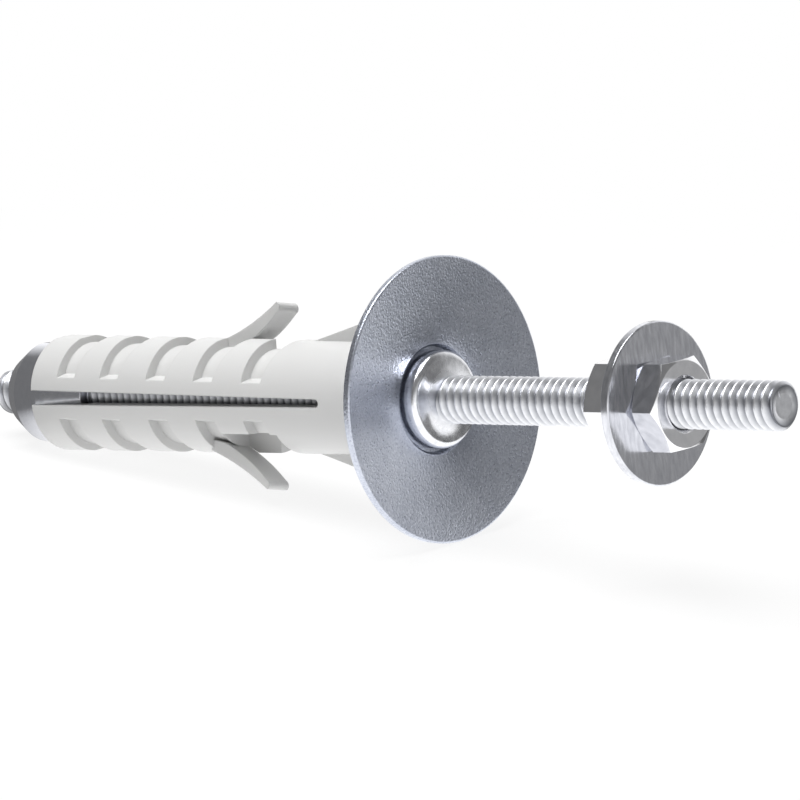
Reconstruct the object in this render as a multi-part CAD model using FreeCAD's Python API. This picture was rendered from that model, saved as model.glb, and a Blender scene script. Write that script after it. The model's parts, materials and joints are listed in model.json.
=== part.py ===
import FreeCAD, Part
import math
import os

# Wall plug with a double-ended threaded stud, lying at rest on its wall disc and plug tip.
# Every piece is built along +X: X = 0 is the front rim of the wall disc, the plug lies
# toward -X and the free end of the stud toward +X. -Y is the side that shows the slit.

# Stud: one turned piece, 1/4 inch rod with a round collar. The thread is not cut here.
STUD_RADIUS = 3.175
STUD_INNER_END = -82.6
STUD_OUTER_END = 56.1
STUD_END_CHAMFER = 0.45
COLLAR_RADIUS = 6.45
COLLAR_LENGTH = 3.1
COLLAR_EDGE_ROUND = 0.95
COLLAR_PROUD = 0.1
ROOT_RING_RADIUS = 3.9
ROOT_RING_LENGTH = 0.5

# Wall disc: pressed dished washer with a cup that the collar sits in.
DISC_RADIUS = 18.8
DISC_THICKNESS = 1.1
DISC_DISH = 1.85
DISC_RIM_EASE = 0.2
CUP_GAP = 0.55
CUP_LIP_EASE = 0.3
DISC_HOLE_GAP = 0.3

# Moulded plug sleeve.
SLEEVE_RADIUS = 7.55
SLEEVE_TIP = -71.4
SLEEVE_BORE_GAP = 0.45
TIP_BEVEL = 0.75
SLIT_WIDTH = 1.1
SLIT_END = -16.1
LEG_SPREAD = 0.5
CROWN_HEIGHT = 7.88
CROWN_END = -45.0
SLEEVE_ROLL = 4.6

# Saw-tooth scoops moulded across both legs.
SCOOP_COUNT = 5
SCOOP_PITCH = 8.98
FIRST_SCOOP_WALL = -65.7
LAST_SCOOP_WALL = -30.4
SCOOP_DEPTH = 0.97
SCOOP_DEPTH_STEP = 0.08
SCOOP_FLOOR_RADIUS = 5.8
SCOOP_FLAT_LENGTH = 2.3
SCOOP_RAMP_LENGTH = 3.2
SCOOP_EXIT_RADIUS = 11.15
SCOOP_EXIT_RISE = 0.3
LEDGE_HEIGHT = 2.4
LEDGE_DRAFT = 12.0

# Barb wings, each rising out of a pocket beside the last scoop but one.
POCKET_START = -36.3
POCKET_END = -25.4
POCKET_FLOOR = 4.3
WING_SIDE = 0.15
WING_WIDTH = 3.75
WING_SIDE_DROP = 0.6
WING_TIP_X = -29.9
WING_TIP_HEIGHT = 12.5
WING_MID_HEIGHT = 9.62
WING_TIP_THICKNESS = 1.35
WING_INNER_MID_HEIGHT = 8.3
WING_ROOT_HEIGHT = 7.45
WING_ROOT_FLOOR = 5.9
WING_LIFT_X = -37.0
WING_LIFT_HEIGHT = 6.4
WING_NOSE = 0.45

# Anti-turn fins on the collar of the sleeve.
FIN_START = -22.6
FIN_PEAK = -12.5
FIN_BACK = -10.0
FIN_HEIGHT = 2.75
FIN_THICKNESS = 1.4

# Cone nut drawn into the legs.
CONE_RADIUS = 6.95
CONE_BEVEL_RADIUS = 5.2
CONE_SMALL_RADIUS = 5.0
CONE_PROUD = 6.3
CONE_BEVEL_LENGTH = 3.0
CONE_CYLINDER_LENGTH = 4.1
CONE_TAPER_LENGTH = 7.0
CONE_SEAT_GAP = 0.12
CONE_SEAT_RUN = 1.2

# Plain washer clamped between two hexagon nuts.
THREAD_GAP = 0.05
WASHER_RADIUS = 10.42
WASHER_THICKNESS = 1.25
WASHER_FRONT = 36.25
WASHER_HOLE_GAP = 0.35
WASHER_EDGE_EASE = 0.15
NUT_ACROSS_FLATS = 11.2
REAR_NUT_HEIGHT = 6.75
FRONT_NUT_HEIGHT = 4.0
NUT_CHAMFER_ANGLE = 30.0
NUT_CHAMFER_INSET = 0.1
NUT_MOUTH = 0.45

# Cutters reach LARGE past what they cut, and places closer than FINE count as the same.
X_AXIS = FreeCAD.Vector(1, 0, 0)
Y_AXIS = FreeCAD.Vector(0, 1, 0)
ORIGIN = FreeCAD.Vector(0, 0, 0)
LARGE = 3 * SLEEVE_RADIUS
FINE = 1e-4

bore_radius = STUD_RADIUS + SLEEVE_BORE_GAP
collar_front = COLLAR_PROUD
collar_rear = collar_front - COLLAR_LENGTH
cup_radius = COLLAR_RADIUS + CUP_GAP
sleeve_mouth = collar_rear - DISC_THICKNESS
slit_round_x = SLIT_END - SLIT_WIDTH / 2
thread_bore = STUD_RADIUS + THREAD_GAP
cone_face = SLEEVE_TIP - CONE_PROUD
cone_rim_start = cone_face + CONE_BEVEL_LENGTH
cone_rim_end = cone_rim_start + CONE_CYLINDER_LENGTH
cone_small_end = cone_rim_end + CONE_TAPER_LENGTH


def point(x, height):
    return FreeCAD.Vector(x, 0, height)


def turned(outline):
    """Solid of revolution about X from a closed outline of (x, radius) points."""
    wire = Part.makePolygon([point(x, r) for x, r in outline + outline[:1]])
    return Part.Face(wire).revolve(ORIGIN, X_AXIS, 360)


def eased(outline, cuts):
    """The outline with some corners cut off, as far along both sides as cuts says."""
    result = []
    for index, corner in enumerate(outline):
        if index not in cuts:
            result.append(corner)
            continue
        for other in (outline[index - 1], outline[(index + 1) % len(outline)]):
            share = cuts[index] / math.dist(corner, other)
            result.append((corner[0] + share * (other[0] - corner[0]),
                           corner[1] + share * (other[1] - corner[1])))
    return result


def rod(start, end, radius):
    return Part.makeCylinder(radius, end - start, point(start, 0), X_AXIS)


def leg_shift(x):
    """How far a leg has moved outward at a place along the plug."""
    return LEG_SPREAD * (slit_round_x - x) / (slit_round_x - SLEEVE_TIP)


def round_rim(solid, x, radius, rounding):
    """Round the full circle edge of that radius about X at that place."""
    rims = []
    for edge in solid.Edges:
        curve = edge.Curve
        if isinstance(curve, Part.Circle) and abs(curve.Center.x - x) < FINE:
            if abs(curve.Radius - radius) < FINE:
                rims.append(edge)
    return solid.makeFillet(rounding, rims)


def make_stud():
    inner, outer, cut = STUD_INNER_END, STUD_OUTER_END, STUD_END_CHAMFER
    tip_radius = STUD_RADIUS - cut
    ring_front = collar_front + ROOT_RING_LENGTH
    body = turned([
        (inner, 0), (inner, tip_radius), (inner + cut, STUD_RADIUS),
        (collar_rear, STUD_RADIUS), (collar_rear, COLLAR_RADIUS),
        (collar_front, COLLAR_RADIUS), (collar_front, ROOT_RING_RADIUS),
        (ring_front, STUD_RADIUS), (outer - cut, STUD_RADIUS),
        (outer, tip_radius), (outer, 0)])
    return round_rim(body, collar_front, COLLAR_RADIUS, COLLAR_EDGE_ROUND)


def make_wall_disc():
    """Cone-dished plate whose centre is pressed back into a flat-bottomed cup."""
    thick = DISC_THICKNESS
    lip = -DISC_DISH
    floor = collar_rear
    hole = STUD_RADIUS + DISC_HOLE_GAP
    outline = [
        (0, DISC_RADIUS), (lip, cup_radius), (floor, cup_radius), (floor, hole),
        (floor - thick, hole), (floor - thick, cup_radius + thick),
        (lip - thick, cup_radius + thick), (-thick, DISC_RADIUS)]
    return turned(eased(outline, {0: DISC_RIM_EASE, 1: CUP_LIP_EASE,
                                  5: CUP_LIP_EASE, 7: DISC_RIM_EASE}))


def make_leg():
    """Upper leg: half a rod with a bevelled tip, bent outward where the slit ends."""
    length = slit_round_x - SLEEVE_TIP
    leg = turned([
        (SLEEVE_TIP, 0), (SLEEVE_TIP, SLEEVE_RADIUS - TIP_BEVEL),
        (SLEEVE_TIP + TIP_BEVEL, SLEEVE_RADIUS), (slit_round_x, SLEEVE_RADIUS), (slit_round_x, 0)])
    upper = Part.makeBox(length, 2 * LARGE, LARGE,
                         FreeCAD.Vector(SLEEVE_TIP, -LARGE, SLIT_WIDTH / 2))
    leg = leg.common(upper)
    leg.rotate(point(slit_round_x, 0), Y_AXIS, math.degrees(math.atan(LEG_SPREAD / length)))
    return leg


def circle_wire(x, centre_height, radius):
    return Part.Wire(Part.Circle(point(x, centre_height), X_AXIS, radius).toShape())


def make_scoop(index):
    """Cutter for one scoop: steep wall, arched floor, then a ramp back to full size."""
    wall = LAST_SCOOP_WALL - SCOOP_PITCH * (SCOOP_COUNT - 1 - index)
    if index == 0:
        wall = FIRST_SCOOP_WALL
    shift = leg_shift(wall)
    flat_end = wall + SCOOP_FLAT_LENGTH
    exit_x = flat_end + SCOOP_RAMP_LENGTH
    floor_top = SLEEVE_RADIUS - SCOOP_DEPTH - SCOOP_DEPTH_STEP * index
    floor_centre = shift + floor_top - SCOOP_FLOOR_RADIUS
    exit_centre = shift + SLEEVE_RADIUS + SCOOP_EXIT_RISE - SCOOP_EXIT_RADIUS
    sections = [circle_wire(wall, floor_centre, SCOOP_FLOOR_RADIUS),
                circle_wire(flat_end, floor_centre, SCOOP_FLOOR_RADIUS),
                circle_wire(exit_x, exit_centre, SCOOP_EXIT_RADIUS)]
    core = Part.makeLoft(sections, True, True)
    slope = math.tan(math.radians(LEDGE_DRAFT))
    reach = math.sqrt(SLEEVE_RADIUS ** 2 - LEDGE_HEIGHT ** 2)
    edge = shift + LEDGE_HEIGHT - slope * (LARGE - reach)
    peak = shift + LEDGE_HEIGHT + slope * reach
    outline = [(-LARGE, edge), (0, peak), (LARGE, edge), (LARGE, LARGE), (-LARGE, LARGE)]
    corners = [FreeCAD.Vector(wall, y, z) for y, z in outline + outline[:1]]
    block = Part.Face(Part.makePolygon(corners)).extrude(point(exit_x - wall, 0))
    return block.cut(core)


def make_pocket():
    """Cutter beside the mid plane that frees the wing; it is open to the side."""
    floor = POCKET_FLOOR + leg_shift(POCKET_START)
    return Part.makeBox(POCKET_END - POCKET_START, LARGE, LARGE,
                        FreeCAD.Vector(POCKET_START, WING_SIDE, floor))


def wing_outline(y, drop):
    """Side view of the wing: a strap that lifts off and curves outward to its tip."""
    root = LAST_SCOOP_WALL - SCOOP_PITCH
    shift = leg_shift(root)

    def at(x, height):
        return FreeCAD.Vector(x, y, height + shift - drop)

    root_x = root - WING_NOSE
    tip = at(WING_TIP_X, WING_TIP_HEIGHT)
    inner_tip = at(WING_TIP_X, WING_TIP_HEIGHT - WING_TIP_THICKNESS)
    nose = at(WING_TIP_X + WING_NOSE, WING_TIP_HEIGHT - WING_TIP_THICKNESS / 2)
    outer_mid = at((WING_TIP_X + root) / 2, WING_MID_HEIGHT)
    inner_mid = at((WING_TIP_X + WING_LIFT_X) / 2, WING_INNER_MID_HEIGHT)
    lift = at(WING_LIFT_X, WING_LIFT_HEIGHT)
    foot = at(root_x, WING_ROOT_FLOOR)
    head = at(root_x, WING_ROOT_HEIGHT)
    return Part.Wire([
        Part.Arc(head, outer_mid, tip).toShape(), Part.Arc(tip, nose, inner_tip).toShape(),
        Part.Arc(inner_tip, inner_mid, lift).toShape(),
        Part.LineSegment(lift, foot).toShape(), Part.LineSegment(foot, head).toShape()])


def make_wing():
    near = wing_outline(WING_SIDE, 0)
    far = wing_outline(WING_SIDE + WING_WIDTH, WING_SIDE_DROP)
    return Part.makeLoft([near, far], True, True)


def make_fin():
    base = SLEEVE_RADIUS - FIN_THICKNESS
    peak = SLEEVE_RADIUS + FIN_HEIGHT
    outline = [(FIN_START, base), (FIN_START, SLEEVE_RADIUS), (FIN_PEAK, peak),
               (FIN_BACK, peak), (FIN_BACK, base)]
    corners = [FreeCAD.Vector(x, -FIN_THICKNESS / 2, z) for x, z in outline + outline[:1]]
    return Part.Face(Part.makePolygon(corners)).extrude(Y_AXIS * FIN_THICKNESS)


def make_cone_seat():
    """Cutter for the tapered inside of the legs, a running gap larger than the cone."""
    taper = (CONE_RADIUS - CONE_SMALL_RADIUS) / CONE_TAPER_LENGTH
    deep = cone_small_end + CONE_SEAT_RUN
    wide = CONE_RADIUS + CONE_SEAT_GAP
    deep_radius = CONE_SMALL_RADIUS + CONE_SEAT_GAP - taper * CONE_SEAT_RUN
    return turned([(SLEEVE_TIP - LARGE, 0), (SLEEVE_TIP - LARGE, wide),
                   (cone_rim_end, wide), (deep, deep_radius), (deep, 0)])


def make_crown_cut():
    """Cutter that flattens the crown of the upper leg near its tip, so that it lies steady."""
    return Part.makeBox(CROWN_END - SLEEVE_TIP + LARGE, 2 * LARGE, LARGE,
                        FreeCAD.Vector(SLEEVE_TIP - LARGE, -LARGE, CROWN_HEIGHT))


def make_sleeve():
    """Two toothed legs on a round neck; the lower leg is the upper one turned half round."""
    leg = make_leg()
    for index in range(SCOOP_COUNT):
        leg = leg.cut(make_scoop(index))
    leg = leg.cut(make_pocket()).fuse(make_wing())
    other = leg.copy()
    other.rotate(ORIGIN, X_AXIS, 180)
    neck = rod(slit_round_x, sleeve_mouth, SLEEVE_RADIUS)
    slit_end = Part.makeCylinder(SLIT_WIDTH / 2, 2 * LARGE,
                                 FreeCAD.Vector(slit_round_x, -LARGE, 0), Y_AXIS)
    fin = make_fin()
    other_fin = fin.copy()
    other_fin.rotate(ORIGIN, X_AXIS, 180)
    body = neck.cut(slit_end).multiFuse([leg, other, fin, other_fin])
    body = body.cut(rod(SLEEVE_TIP - LARGE, 0, bore_radius)).cut(make_cone_seat())
    body.rotate(ORIGIN, X_AXIS, -SLEEVE_ROLL)
    crown = make_crown_cut()
    other_crown = crown.copy()
    other_crown.rotate(ORIGIN, X_AXIS, 180)
    return body.cut(crown).cut(other_crown).removeSplitter()


def make_cone_nut():
    return turned([
        (cone_face, thread_bore + NUT_MOUTH), (cone_face, CONE_BEVEL_RADIUS),
        (cone_rim_start, CONE_RADIUS), (cone_rim_end, CONE_RADIUS),
        (cone_small_end, CONE_SMALL_RADIUS), (cone_small_end, thread_bore),
        (cone_face + NUT_MOUTH, thread_bore)])


def make_washer():
    front, rear = WASHER_FRONT, WASHER_FRONT - WASHER_THICKNESS
    hole = STUD_RADIUS + WASHER_HOLE_GAP
    outline = [(rear, hole), (rear, WASHER_RADIUS), (front, WASHER_RADIUS), (front, hole)]
    return turned(eased(outline, {1: WASHER_EDGE_EASE, 2: WASHER_EDGE_EASE}))


def make_nut(rear, height):
    """Hexagon nut: both faces chamfered at the corners, mouths countersunk."""
    corner = NUT_ACROSS_FLATS / math.sqrt(3)
    face_radius = NUT_ACROSS_FLATS / 2 - NUT_CHAMFER_INSET
    front = rear + height
    angles = [math.radians(60 * turn) for turn in range(7)]
    corners = [FreeCAD.Vector(rear, -corner * math.cos(a), corner * math.sin(a)) for a in angles]
    prism = Part.Face(Part.makePolygon(corners)).extrude(point(height, 0))
    bevel = math.tan(math.radians(NUT_CHAMFER_ANGLE)) * (corner - face_radius)
    envelope = turned([
        (rear, 0), (rear, face_radius), (rear + bevel, corner), (front - bevel, corner),
        (front, face_radius), (front, 0)])
    mouth = thread_bore + NUT_MOUTH
    bore = turned([
        (rear, 0), (rear, mouth), (rear + NUT_MOUTH, thread_bore),
        (front - NUT_MOUTH, thread_bore), (front, mouth), (front, 0)])
    return prism.common(envelope).cut(bore)


def lay_down(pieces):
    """Tip the plug until tip and disc rim touch the ground; the origin is under the middle."""
    rim = DISC_RIM_EASE - DISC_THICKNESS
    crown_front = SLEEVE_TIP + TIP_BEVEL - (SLEEVE_RADIUS + LEG_SPREAD - CROWN_HEIGHT)
    run = rim - crown_front
    angle = math.degrees(math.atan2(DISC_RADIUS - CROWN_HEIGHT, run))
    for shape in pieces.values():
        shape.rotate(ORIGIN, Y_AXIS, -angle)
    box = Part.makeCompound(list(pieces.values())).optimalBoundingBox(False)
    middle = FreeCAD.Vector(box.Center.x, box.Center.y, box.ZMin)
    for shape in pieces.values():
        shape.translate(middle * -1)
    return angle, middle


washer_rear = WASHER_FRONT - WASHER_THICKNESS
nodes = {
    "sleeve": make_sleeve(),
    "cone_nut": make_cone_nut(),
    "stud": make_stud(),
    "wall_disc": make_wall_disc(),
    "rear_nut": make_nut(washer_rear - REAR_NUT_HEIGHT, REAR_NUT_HEIGHT),
    "plain_washer": make_washer(),
    "front_nut": make_nut(WASHER_FRONT, FRONT_NUT_HEIGHT),
}
lay_angle, shift = lay_down(nodes)
os.makedirs("parts", exist_ok=True)
for name, solid in nodes.items():
    solid.exportStep("parts/" + name + ".step")
    box = solid.BoundBox
    print(name, len(solid.Solids), solid.isValid(), round(solid.Volume, 1),
          [round(v, 2) for v in (box.XMin, box.XMax, box.YMin, box.YMax, box.ZMin, box.ZMax)])
print("lay angle", round(lay_angle, 3), "origin on the axis frame",
      [round(v, 4) for v in (shift.x, shift.y, shift.z)])
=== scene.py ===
import bpy
import bmesh
import json
import math
from mathutils import Matrix, Vector


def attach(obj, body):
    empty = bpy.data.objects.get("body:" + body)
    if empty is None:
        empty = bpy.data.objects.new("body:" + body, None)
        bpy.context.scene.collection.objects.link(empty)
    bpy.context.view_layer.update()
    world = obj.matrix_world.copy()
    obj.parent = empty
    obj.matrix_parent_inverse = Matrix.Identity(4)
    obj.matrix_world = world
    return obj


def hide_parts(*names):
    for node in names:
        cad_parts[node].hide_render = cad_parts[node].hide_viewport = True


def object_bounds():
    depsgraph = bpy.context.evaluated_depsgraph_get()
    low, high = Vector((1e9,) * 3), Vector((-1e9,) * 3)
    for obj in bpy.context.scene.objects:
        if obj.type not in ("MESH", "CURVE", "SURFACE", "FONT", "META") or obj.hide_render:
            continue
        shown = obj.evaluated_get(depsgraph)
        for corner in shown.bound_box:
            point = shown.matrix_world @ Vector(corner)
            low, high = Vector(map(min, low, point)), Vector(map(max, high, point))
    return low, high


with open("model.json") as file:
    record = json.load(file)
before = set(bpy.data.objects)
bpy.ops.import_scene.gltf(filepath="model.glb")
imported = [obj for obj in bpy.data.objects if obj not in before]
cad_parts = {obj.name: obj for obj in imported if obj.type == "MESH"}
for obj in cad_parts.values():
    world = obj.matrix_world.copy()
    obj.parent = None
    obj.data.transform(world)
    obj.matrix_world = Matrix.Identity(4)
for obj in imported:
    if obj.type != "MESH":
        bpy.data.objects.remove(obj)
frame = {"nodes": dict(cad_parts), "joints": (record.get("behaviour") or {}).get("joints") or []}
cad_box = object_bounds()

# Plug sleeve
# One piece of moulded nylon: a round neck with two fins, and two toothed legs with barb wings.
# The steel mould leaves a satin skin with a barely uneven, slightly oily sheen.

MILLIMETRE = 0.001
SLEEVE_GREY = (0.63, 0.63, 0.625)
SLEEVE_SHADE = (0.59, 0.59, 0.586)
SLEEVE_EDGE_ROUND = 0.28 * MILLIMETRE
SKIN_HEIGHT = 0.006 * MILLIMETRE
FLOW_OVER_SKIN = 2.0
NYLON_DEPTH = (1.2 * MILLIMETRE, 1.2 * MILLIMETRE, 1.1 * MILLIMETRE)


class Value:
    """A shader socket that takes part in sums; plain numbers mix in freely."""

    def __init__(self, surface, socket):
        self.surface = surface
        self.socket = socket

    def __add__(self, other):
        return self.surface.math("ADD", self, other)

    def __radd__(self, other):
        return self.surface.math("ADD", other, self)

    def __sub__(self, other):
        return self.surface.math("SUBTRACT", self, other)

    def __rsub__(self, other):
        return self.surface.math("SUBTRACT", other, self)

    def __mul__(self, other):
        return self.surface.math("MULTIPLY", self, other)

    def __rmul__(self, other):
        return self.surface.math("MULTIPLY", other, self)

    def __truediv__(self, other):
        return self.surface.math("DIVIDE", self, other)

    def __rtruediv__(self, other):
        return self.surface.math("DIVIDE", other, self)

    def clamped(self):
        """Cut off at 0 and 1."""
        return self.surface.node("ShaderNodeClamp", {}, {"Value": self})

    def contrast(self, gain):
        """Spreads a noise value about its middle, cut off at 0 and 1."""
        return ((self - 0.5) * gain + 0.5).clamped()

    def between(self, low, high):
        """Runs from the low number to the high one."""
        return self * (high - low) + low


class Surface:
    """A node tree that is filled by one method; it serves materials and the world."""

    def __init__(self, owner):
        owner.use_nodes = True
        self.owner = owner
        self.tree = owner.node_tree
        self.tree.nodes.clear()

    def node(self, kind, settings, inputs, output=0):
        made = self.tree.nodes.new(kind)
        for key, value in settings.items():
            setattr(made, key, value)
        for key, value in inputs.items():
            if isinstance(value, Value):
                self.tree.links.new(value.socket, made.inputs[key])
            elif isinstance(value, tuple) and made.inputs[key].type == "RGBA":
                made.inputs[key].default_value = (*value, 1)
            else:
                made.inputs[key].default_value = value
        return Value(self, made.outputs[output]) if made.outputs else None

    def math(self, operation, *values):
        return self.node("ShaderNodeMath", {"operation": operation}, dict(enumerate(values)))

    def vector(self, operation, *vectors, output=0):
        return self.node("ShaderNodeVectorMath", {"operation": operation},
                         dict(enumerate(vectors)), output)

    def part(self, vector, letter):
        """One coordinate of a place or a direction."""
        return self.node("ShaderNodeSeparateXYZ", {}, {"Vector": vector}, letter)

    def place(self):
        return self.node("ShaderNodeTexCoord", {}, {}, "Object")

    def ray(self, kind):
        """1 for rays of one kind, 0 for all others."""
        return self.node("ShaderNodeLightPath", {}, {}, kind)

    def noise(self, scale, detail=2.0, place=None):
        return self.node("ShaderNodeTexNoise", {},
                         {"Vector": place or self.place(), "Scale": scale, "Detail": detail})

    def off_axis(self, point, direction):
        """How far each spot of the surface lies from a line."""
        offset = self.vector("SUBTRACT", self.place(), tuple(point))
        lever = self.vector("CROSS_PRODUCT", offset, tuple(direction))
        return self.vector("LENGTH", lever, output="Value")

    def blend(self, factor, low, high):
        """From one colour to another; 6, 7 and 2 are the Mix node's sockets for colours."""
        return self.node("ShaderNodeMix", {"data_type": "RGBA"}, {0: factor, 6: low, 7: high}, 2)

    def bump(self, height, distance, normal=None):
        inputs = {"Height": height, "Distance": distance}
        if normal:
            inputs["Normal"] = normal
        return self.node("ShaderNodeBump", {}, inputs)

    def rounded(self, radius):
        """Normals that ease the sharp edges of a piece."""
        return self.node("ShaderNodeBevel", {"samples": 6}, {"Radius": radius})

    def finish(self, **inputs):
        named = {key.replace("_", " "): value for key, value in inputs.items()}
        shader = self.node("ShaderNodeBsdfPrincipled", {}, named)
        self.node("ShaderNodeOutputMaterial", {}, {"Surface": shader})
        return self.owner


def surface(name):
    return Surface(bpy.data.materials.new(name))


def dress(node, material):
    """Gives a CAD node's own mesh its material."""
    mesh = frame["nodes"][node].data
    mesh.materials.clear()
    mesh.materials.append(material)


nylon = surface("moulded_nylon")
flow = nylon.noise(scale=55.0, detail=3.0)
skin = nylon.noise(scale=2600.0)
nylon_material = nylon.finish(
    Base_Color=nylon.blend(flow, SLEEVE_SHADE, SLEEVE_GREY),
    Roughness=flow.between(0.36, 0.5),
    Normal=nylon.bump(skin + FLOW_OVER_SKIN * flow, SKIN_HEIGHT,
                      normal=nylon.rounded(SLEEVE_EDGE_ROUND)),
    Subsurface_Weight=0.12,
    Subsurface_Radius=NYLON_DEPTH,
    Subsurface_Scale=1.0)
dress("sleeve", nylon_material)

# Wall disc
# Pressed steel washer, dished and cupped in one stroke, then barrel zinc plated.
# The plating keeps the fine mottled grain of the rolled sheet, in a satin bluish grey.

ZINC = (0.67, 0.7, 0.78)
ZINC_DARK_GRAIN_AND_SHADE = (0.43, 0.46, 0.54)
DISC_EDGE_ROUND = 0.2 * MILLIMETRE
GRAIN_SHARE = 0.7
GRAIN_HEIGHT = 0.06 * MILLIMETRE
CLOUD_HEIGHT = 0.04 * MILLIMETRE
CUP_RADIUS = 7.0 * MILLIMETRE
DISH_REACH = 2.5 * MILLIMETRE
DISH_DEPTH = 0.42 * MILLIMETRE
CUP_PAINTED_SHADE = 0.5
COLLAR_REAR = -3.0

# The disc's joint sits on the plug's axis at the collar's rear. Places along the axis are
# millimetres from the disc's front rim, positive toward the stud's free end.
disc_joint = next(joint for joint in frame["joints"] if joint["name"] == "wall_disc_turn")
along = Vector(disc_joint["axis"]).normalized()
wall_plane = Vector(disc_joint["pos_m"]) - along * COLLAR_REAR * MILLIMETRE

# The stroke draws the sheet down toward the cup into a soft-edged hollow, shown by bent normals;
# the colour there is darkened as painted shade.
disc_zinc = surface("satin_zinc_sheet")
cloud = disc_zinc.noise(scale=220.0, detail=3.0)
grain = disc_zinc.noise(scale=3300.0)
off_cup = disc_zinc.off_axis(wall_plane, along) - CUP_RADIUS
near_cup = disc_zinc.math("EXPONENT", off_cup / -DISH_REACH)
mottle = (grain * GRAIN_SHARE + cloud * (1 - GRAIN_SHARE)).contrast(2.4)
disc_height = grain * GRAIN_HEIGHT + cloud * CLOUD_HEIGHT - near_cup * DISH_DEPTH
# Random mottle sets the tone, and near the cup the colour is pulled toward the dark end as
# painted shade.
disc_material = disc_zinc.finish(
    Base_Color=disc_zinc.blend(mottle - near_cup * CUP_PAINTED_SHADE, ZINC_DARK_GRAIN_AND_SHADE, ZINC),
    Metallic=1.0,
    Roughness=grain.between(0.24, 0.34),
    Normal=disc_zinc.bump(disc_height, distance=1.0,
                          normal=disc_zinc.rounded(DISC_EDGE_ROUND)))
dress("wall_disc", disc_material)

# Stud
# One steel piece: a 1/4 inch rod with rolled 20-to-the-inch thread over both ends, and a round
# collar upset on it that sits in the cup of the disc. Bright zinc plated.

PITCH = 1.27
CREST_RADIUS = 3.17
THREAD_DEPTH = 0.68
ROOT_RADIUS = CREST_RADIUS - THREAD_DEPTH
CORNER_EASE = 0.05
CREST_FLAT = 0.05
CREST_CORNER = 0.11
ROOT_FLAT = 0.05
ROOT_CORNER = 0.13
INNER_END = -82.6
FREE_END = 56.1
END_CHAMFER = 0.5
CHAMFER_SLOPE = 1.2
CUP_RINGS = ((0.93, 0.0), (0.84, 0.14), (0.6, 0.24), (0.3, 0.28))
COLLAR_RADIUS = 6.45
COLLAR_FRONT = 0.1
COLLAR_EDGE_ROUND = 0.95
COLLAR_BORE = 2.2
ROOT_RING_RADIUS = 3.9
ROOT_RING_TOP = 3.1
ROOT_RING_LENGTH = 0.5
ROD_IN_COLLAR = 0.5
THREAD_STEPS = 48
COLLAR_STEPS = 96
CORNER_STEPS = 6
FINE = 1e-4
FLAT_WITHIN = 1e-3
SMOOTH_BELOW = math.radians(35)
CREST_BRIGHT = (0.88, 0.89, 0.92)
CREST_SHADE = (0.69, 0.7, 0.73)
ROOT_PAINTED_SHADE = (0.31, 0.32, 0.35)
COLLAR_SHINE = 0.16
WEAR_HEIGHT = 0.02 * MILLIMETRE

sideways = Vector((0, 1, 0))
upward = along.cross(sideways)
plug_turn = Matrix((along, sideways, upward)).transposed().to_4x4()
plug_frame = Matrix.Translation(wall_plane) @ plug_turn @ Matrix.Scale(MILLIMETRE, 4)


def chain(mesh, points):
    """An open row of edges in the plane of the axis, from (place, radius) points."""
    corners = [mesh.verts.new((x, 0, radius)) for x, radius in points]
    return corners + [mesh.edges.new(pair) for pair in zip(corners, corners[1:])]


def turned(points):
    """A closed outline turned once about the axis."""
    mesh = bmesh.new()
    outline = chain(mesh, points + points[:1])
    bmesh.ops.spin(mesh, geom=outline, cent=(0, 0, 0), axis=(1, 0, 0), dvec=(0, 0, 0),
                   angle=2 * math.pi, steps=COLLAR_STEPS, use_merge=True)
    bmesh.ops.remove_doubles(mesh, verts=mesh.verts, dist=FINE)
    return mesh


def rounded_corner(place, outer_radius, ease):
    """The points of a quarter round, from the outside down to the face at a place."""
    angles = [math.radians(90 - 90 * step / CORNER_STEPS) for step in range(CORNER_STEPS + 1)]
    return [(place - ease + ease * math.cos(angle), outer_radius - ease + ease * math.sin(angle))
            for angle in angles]


def thread_points(first, last):
    """One side of a 60 degree thread, with flat crests and roots, and eased corners.

    The flats and the corners are half widths, as shares of the pitch.
    """
    shape = [(-CREST_CORNER, CREST_RADIUS - CORNER_EASE), (-CREST_FLAT, CREST_RADIUS),
             (CREST_FLAT, CREST_RADIUS), (CREST_CORNER, CREST_RADIUS - CORNER_EASE),
             (0.5 - ROOT_CORNER, ROOT_RADIUS + CORNER_EASE), (0.5 - ROOT_FLAT, ROOT_RADIUS),
             (0.5 + ROOT_FLAT, ROOT_RADIUS), (0.5 + ROOT_CORNER, ROOT_RADIUS + CORNER_EASE)]
    turns = range(math.floor(first / PITCH) - 1, math.ceil(last / PITCH) + 1)
    return [((turn + share) * PITCH, radius) for turn in turns for share, radius in shape]


def flat_at(part, place):
    """Whether an edge or a face lies in the plane across the axis at a place."""
    return all(abs(corner.co.x - place) < FLAT_WITHIN for corner in part.verts)


def threaded(first, last):
    """A rod with a right-hand thread, cut square and closed at both places."""
    mesh = bmesh.new()
    outline = chain(mesh, thread_points(first, last))
    bmesh.ops.spin(mesh, geom=outline, cent=(0, 0, 0), axis=(1, 0, 0),
                   dvec=(PITCH / THREAD_STEPS, 0, 0), angle=2 * math.pi, steps=THREAD_STEPS)
    bmesh.ops.remove_doubles(mesh, verts=mesh.verts, dist=FINE)
    for place, away in ((first, -1), (last, 1)):
        everything = mesh.verts[:] + mesh.edges[:] + mesh.faces[:]
        bmesh.ops.bisect_plane(mesh, geom=everything, dist=FINE, plane_co=(place, 0, 0),
                               plane_no=(away, 0, 0), clear_outer=True)
        rim = [edge for edge in mesh.edges if edge.is_boundary and flat_at(edge, place)]
        bmesh.ops.edgeloop_fill(mesh, edges=rim)
    bmesh.ops.recalc_face_normals(mesh, faces=mesh.faces)
    return mesh


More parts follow.
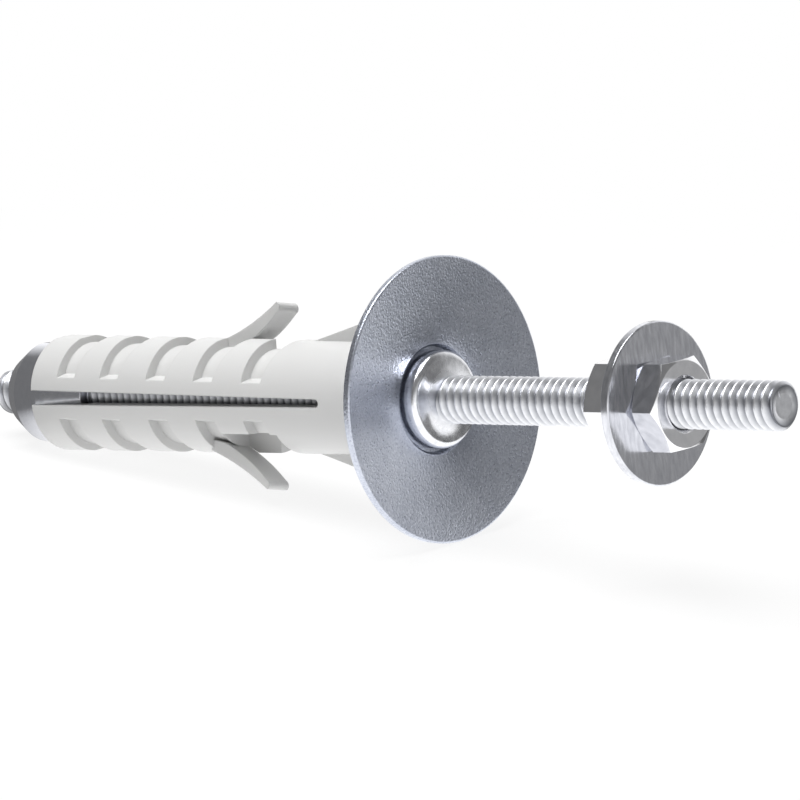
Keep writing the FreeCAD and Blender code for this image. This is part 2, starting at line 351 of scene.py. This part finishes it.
def finish_end(mesh, end, away):
    """Draws the last turns in to a cone, and presses a shallow cup into the end.

    Each ring of the cup is a share of the flat that the cone leaves, and a depth.
    """
    flat = CREST_RADIUS - END_CHAMFER
    for corner in mesh.verts:
        reach = flat + CHAMFER_SLOPE * away * (end - corner.co.x)
        radius = math.hypot(corner.co.y, corner.co.z)
        if radius > reach:
            corner.co.y *= reach / radius
            corner.co.z *= reach / radius
    cap = [face for face in mesh.faces if flat_at(face, end)]
    for share, depth in CUP_RINGS:
        grown = bmesh.ops.extrude_face_region(mesh, geom=cap)["geom"]
        bmesh.ops.delete(mesh, geom=cap, context="FACES_ONLY")
        cap = [part for part in grown if isinstance(part, bmesh.types.BMFace)]
        for corner in cap[0].verts:
            angle = math.atan2(corner.co.z, corner.co.y)
            corner.co = (end - away * depth, share * flat * math.cos(angle),
                         share * flat * math.sin(angle))


def joined(meshes):
    """Several meshes as one."""
    whole = bmesh.new()
    for mesh in meshes:
        data = bpy.data.meshes.new("joined")
        mesh.to_mesh(data)
        mesh.free()
        whole.from_mesh(data)
        bpy.data.meshes.remove(data)
    return whole


def in_scene(name, data):
    """A new object in the scene."""
    made = bpy.data.objects.new(name, data)
    bpy.context.scene.collection.objects.link(made)
    return made


def into_place(mesh, name, material, body):
    """Turns a mesh in millimetres along X into a finished object on the plug's axis."""
    bmesh.ops.recalc_face_normals(mesh, faces=mesh.faces)
    bmesh.ops.transform(mesh, matrix=plug_frame, verts=mesh.verts)
    data = bpy.data.meshes.new(name)
    mesh.to_mesh(data)
    mesh.free()
    data.shade_smooth()
    data.set_sharp_from_angle(angle=SMOOTH_BELOW)
    data.materials.append(material)
    made = in_scene(name, data)
    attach(made, body)
    return made


# The thread's root is darkened as painted shade and its crests are bright. The flat ends lie
# nearer the axis than the root does, but are as bright as the crests, and the collar outside the
# thread is smoother.
stud_zinc = surface("bright_zinc_stud")
wear = stud_zinc.noise(scale=900.0, detail=3.0)
from_root = stud_zinc.off_axis(wall_plane, along) / MILLIMETRE - ROOT_RADIUS
# The base colour runs from painted shade at the thread's root to the plated tone at the crests
# and beyond.
outside_root = (stud_zinc.math("ABSOLUTE", from_root) / THREAD_DEPTH).clamped()
on_collar = (from_root - THREAD_DEPTH).clamped()
plated = stud_zinc.blend(wear.contrast(2.5), CREST_SHADE, CREST_BRIGHT)
stud_material = stud_zinc.finish(
    Base_Color=stud_zinc.blend(outside_root, ROOT_PAINTED_SHADE, plated),
    Metallic=1.0,
    Roughness=wear.between(0.28, 0.44) - COLLAR_SHINE * on_collar,
    Normal=stud_zinc.bump(wear, WEAR_HEIGHT))

outer_rod = threaded(COLLAR_FRONT - ROD_IN_COLLAR, FREE_END)
finish_end(outer_rod, FREE_END, 1)
inner_rod = threaded(INNER_END, COLLAR_REAR + ROD_IN_COLLAR)
finish_end(inner_rod, INNER_END, -1)
collar = turned([(COLLAR_REAR, COLLAR_BORE), (COLLAR_REAR, COLLAR_RADIUS)]
                + rounded_corner(COLLAR_FRONT, COLLAR_RADIUS, COLLAR_EDGE_ROUND)
                + [(COLLAR_FRONT, ROOT_RING_RADIUS),
                   (COLLAR_FRONT + ROOT_RING_LENGTH, ROOT_RING_TOP),
                   (COLLAR_FRONT + ROOT_RING_LENGTH, COLLAR_BORE)])
stud = into_place(joined([outer_rod, inner_rod, collar]), "threaded_stud", stud_material, "stud")
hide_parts("stud")

# Cone nut
# Turned steel cone with a threaded bore, zinc plated, drawn up the stud into the legs.
# The taper keeps a fine, uneven grain from the lathe.

CONE_BRIGHT = (0.76, 0.77, 0.81)
CONE_SHADE = (0.68, 0.69, 0.74)
CONE_EDGE_ROUND = 0.2 * MILLIMETRE
LATHE_HEIGHT = 0.01 * MILLIMETRE

cone_zinc = surface("bright_zinc_cone")
lathe_grain = cone_zinc.noise(scale=1500.0)
cone_material = cone_zinc.finish(
    Base_Color=cone_zinc.blend(lathe_grain, CONE_SHADE, CONE_BRIGHT),
    Metallic=1.0,
    Roughness=lathe_grain.between(0.12, 0.22),
    Normal=cone_zinc.bump(lathe_grain, LATHE_HEIGHT, normal=cone_zinc.rounded(CONE_EDGE_ROUND)))
dress("cone_nut", cone_material)

# Nuts and plain washer
# Hexagon nuts cold formed from steel, and a blanked washer between them, all bright zinc plated.
# The washer's face keeps faint streaks of the strip that it was blanked from.

NUT_BRIGHT = (0.9, 0.9, 0.92)
NUT_SHADE = (0.78, 0.785, 0.81)
NUT_EDGE_ROUND = 0.12 * MILLIMETRE
DENT_HEIGHT = 0.02 * MILLIMETRE
WASHER_BRIGHT = (0.74, 0.75, 0.79)
WASHER_SHADE = (0.56, 0.57, 0.61)
WASHER_EDGE_ROUND = 0.12 * MILLIMETRE
STREAK_HEIGHT = 0.012 * MILLIMETRE
STREAK_SQUASH = (1.0, 1.0, 0.2)

nut_zinc = surface("bright_zinc_nut")
dent = nut_zinc.noise(scale=700.0, detail=3.0)
nut_material = nut_zinc.finish(
    Base_Color=nut_zinc.blend(dent.contrast(2.0), NUT_SHADE, NUT_BRIGHT),
    Metallic=1.0,
    Roughness=dent.between(0.1, 0.18),
    Normal=nut_zinc.bump(dent, DENT_HEIGHT, normal=nut_zinc.rounded(NUT_EDGE_ROUND)))
dress("rear_nut", nut_material)
dress("front_nut", nut_material)

washer_zinc = surface("bright_zinc_washer")
squashed = washer_zinc.node("ShaderNodeMapping", {},
                            {"Vector": washer_zinc.place(), "Scale": STREAK_SQUASH})
streak = washer_zinc.noise(scale=1900.0, place=squashed)
washer_material = washer_zinc.finish(
    Base_Color=washer_zinc.blend(streak.contrast(2.4), WASHER_SHADE, WASHER_BRIGHT),
    Metallic=1.0,
    Roughness=streak.between(0.13, 0.23),
    Normal=washer_zinc.bump(streak, STREAK_HEIGHT, normal=washer_zinc.rounded(WASHER_EDGE_ROUND)))
dress("plain_washer", washer_material)

# Ground and light
# A white sweep in a light tent, under one large soft light overhead. The plated metal mirrors a
# bright table in front, bright walls at the rear left and the right, and a dim room elsewhere.

GROUND_SIZE = 6.0
GROUND_WHITE = (0.9, 0.9, 0.9)
GROUND_GLOW = 0.86
SHADOW_REACH = 0.1
TABLE_GLOW = 0.7
TABLE_LIGHT = 1.35
TABLE_EDGE = 0.028
TABLE_LEFT_EDGE = -0.056
TABLE_BLUR = 0.012
REAR_LEFT_LIGHT = 1.2
REAR_RIGHT_SLOPE = 0.66
REAR_DARK = 0.14
REAR_RIGHT_LIGHT = 0.25
REAR_NEAR = 0.05
LEFT_DARK = 0.2
LAMP_SIZE = 0.5
LAMP_POWER = 5.5
LAMP_OFFSET = Vector((-0.07, -0.08, 0.59))
TENT_FILL = 0.16
TENT_DARK = 0.2
TENT_BAND = 0.6
RIGHT_WALL_LIGHT = 1.4


def aim(made, place, target):
    """Puts the lamp or the camera at a place and turns it toward its target."""
    made.location = place
    made.rotation_euler = (target - place).to_track_quat("-Z", "Y").to_euler()


# For every ray but the camera's the paper stands for the room that the metal mirrors: a bright
# table in front, a dark strip behind its rear edge, light again beyond, and dark at its left.
paper = surface("white_ground")
seen = paper.ray("Is Camera Ray")
mirrored = paper.ray("Is Glossy Ray")
depth = paper.part(paper.place(), "Y")
width = paper.part(paper.place(), "X")
beyond = ((depth - TABLE_EDGE) / TABLE_BLUR).clamped()
beside = ((TABLE_LEFT_EDGE - width) / TABLE_BLUR).clamped()
rightward = ((width - REAR_RIGHT_SLOPE * depth) / TABLE_BLUR).clamped()
distant = ((depth - TABLE_EDGE) / REAR_NEAR - 1).clamped()
rear = REAR_DARK + distant * (REAR_LEFT_LIGHT + rightward * (REAR_RIGHT_LIGHT - REAR_LEFT_LIGHT))
room = TABLE_LIGHT + beyond * (rear - TABLE_LIGHT)
room = room + beside * (LEFT_DARK - room)

# The paper glows by itself, and only what is left of it takes the shadow under the plug.
reach = paper.vector("LENGTH", paper.place(), output="Value")
open_ground = (reach / SHADOW_REACH - 1).clamped()
glow_share = (TABLE_GLOW + mirrored * (1 - TABLE_GLOW)
              + seen * (GROUND_GLOW - TABLE_GLOW + (1 - GROUND_GLOW) * open_ground))
matt = paper.node("ShaderNodeBsdfDiffuse", {}, {"Color": GROUND_WHITE})
glow = paper.node("ShaderNodeEmission", {}, {"Color": seen + (1 - seen) * room})
lit_paper = paper.node("ShaderNodeMixShader", {}, {0: glow_share, 1: matt, 2: glow})
paper.node("ShaderNodeOutputMaterial", {}, {"Surface": lit_paper})

ground_mesh = bmesh.new()
bmesh.ops.create_grid(ground_mesh, x_segments=1, y_segments=1, size=GROUND_SIZE / 2)
ground_data = bpy.data.meshes.new("ground")
ground_mesh.to_mesh(ground_data)
ground_mesh.free()
ground_data.materials.append(paper.owner)
ground = in_scene("ground", ground_data)

middle = (cad_box[0] + cad_box[1]) / 2
lamp = bpy.data.lights.new("top_light", "AREA")
lamp.size = LAMP_SIZE
lamp.energy = LAMP_POWER
aim(in_scene("top_light", lamp), middle + LAMP_OFFSET, middle)

world = Surface(bpy.data.worlds.new("tent"))
bpy.context.scene.world = world.owner
tent_direction = world.node("ShaderNodeTexCoord", {}, {}, "Generated")
height = world.part(tent_direction, "Z")
camera_ray = world.ray("Is Camera Ray")
glossy_ray = world.ray("Is Glossy Ray")


def bright_wall(azimuth, edge, gain):
    """A part of the tent that is bright toward one side and falls off from there."""
    side = (math.sin(math.radians(azimuth)), -math.cos(math.radians(azimuth)), 0)
    toward = world.vector("DOT_PRODUCT", tent_direction, side, output="Value")
    return ((toward - edge) * gain).clamped()


low = (1 - height / TENT_BAND).clamped()
rear_wall = bright_wall(azimuth=-160, edge=0.4, gain=2.2)
right_wall = low * RIGHT_WALL_LIGHT * bright_wall(azimuth=66, edge=0.62, gain=2.8)
mirrored_tent = TENT_DARK + rear_wall + right_wall
tent_level = TENT_FILL + glossy_ray * (mirrored_tent - TENT_FILL)
tent = world.node("ShaderNodeBackground", {},
                  {"Color": camera_ray + (1 - camera_ray) * tent_level})
world.node("ShaderNodeOutputWorld", {}, {"Surface": tent})

# Camera
# The photograph looks down at the plug from beside its free end, with a long lens.

VIEW_AZIMUTH = math.radians(41.762)
VIEW_ELEVATION = math.radians(14.421)
AIM = Vector((0.008612, -0.004207, 0.018673))
VIEW_DISTANCE = 0.696
LENS = 240.29
SENSOR_WIDTH = 36
CLIP_START = 0.01

camera = in_scene("camera", bpy.data.cameras.new("camera"))
aim(camera, AIM + VIEW_DISTANCE * Vector((
    math.sin(VIEW_AZIMUTH) * math.cos(VIEW_ELEVATION),
    -math.cos(VIEW_AZIMUTH) * math.cos(VIEW_ELEVATION), math.sin(VIEW_ELEVATION))), AIM)
camera.data.lens = LENS
camera.data.sensor_width = SENSOR_WIDTH
camera.data.clip_start = CLIP_START
bpy.context.scene.camera = camera
bpy.context.scene.view_settings.view_transform = "Standard"
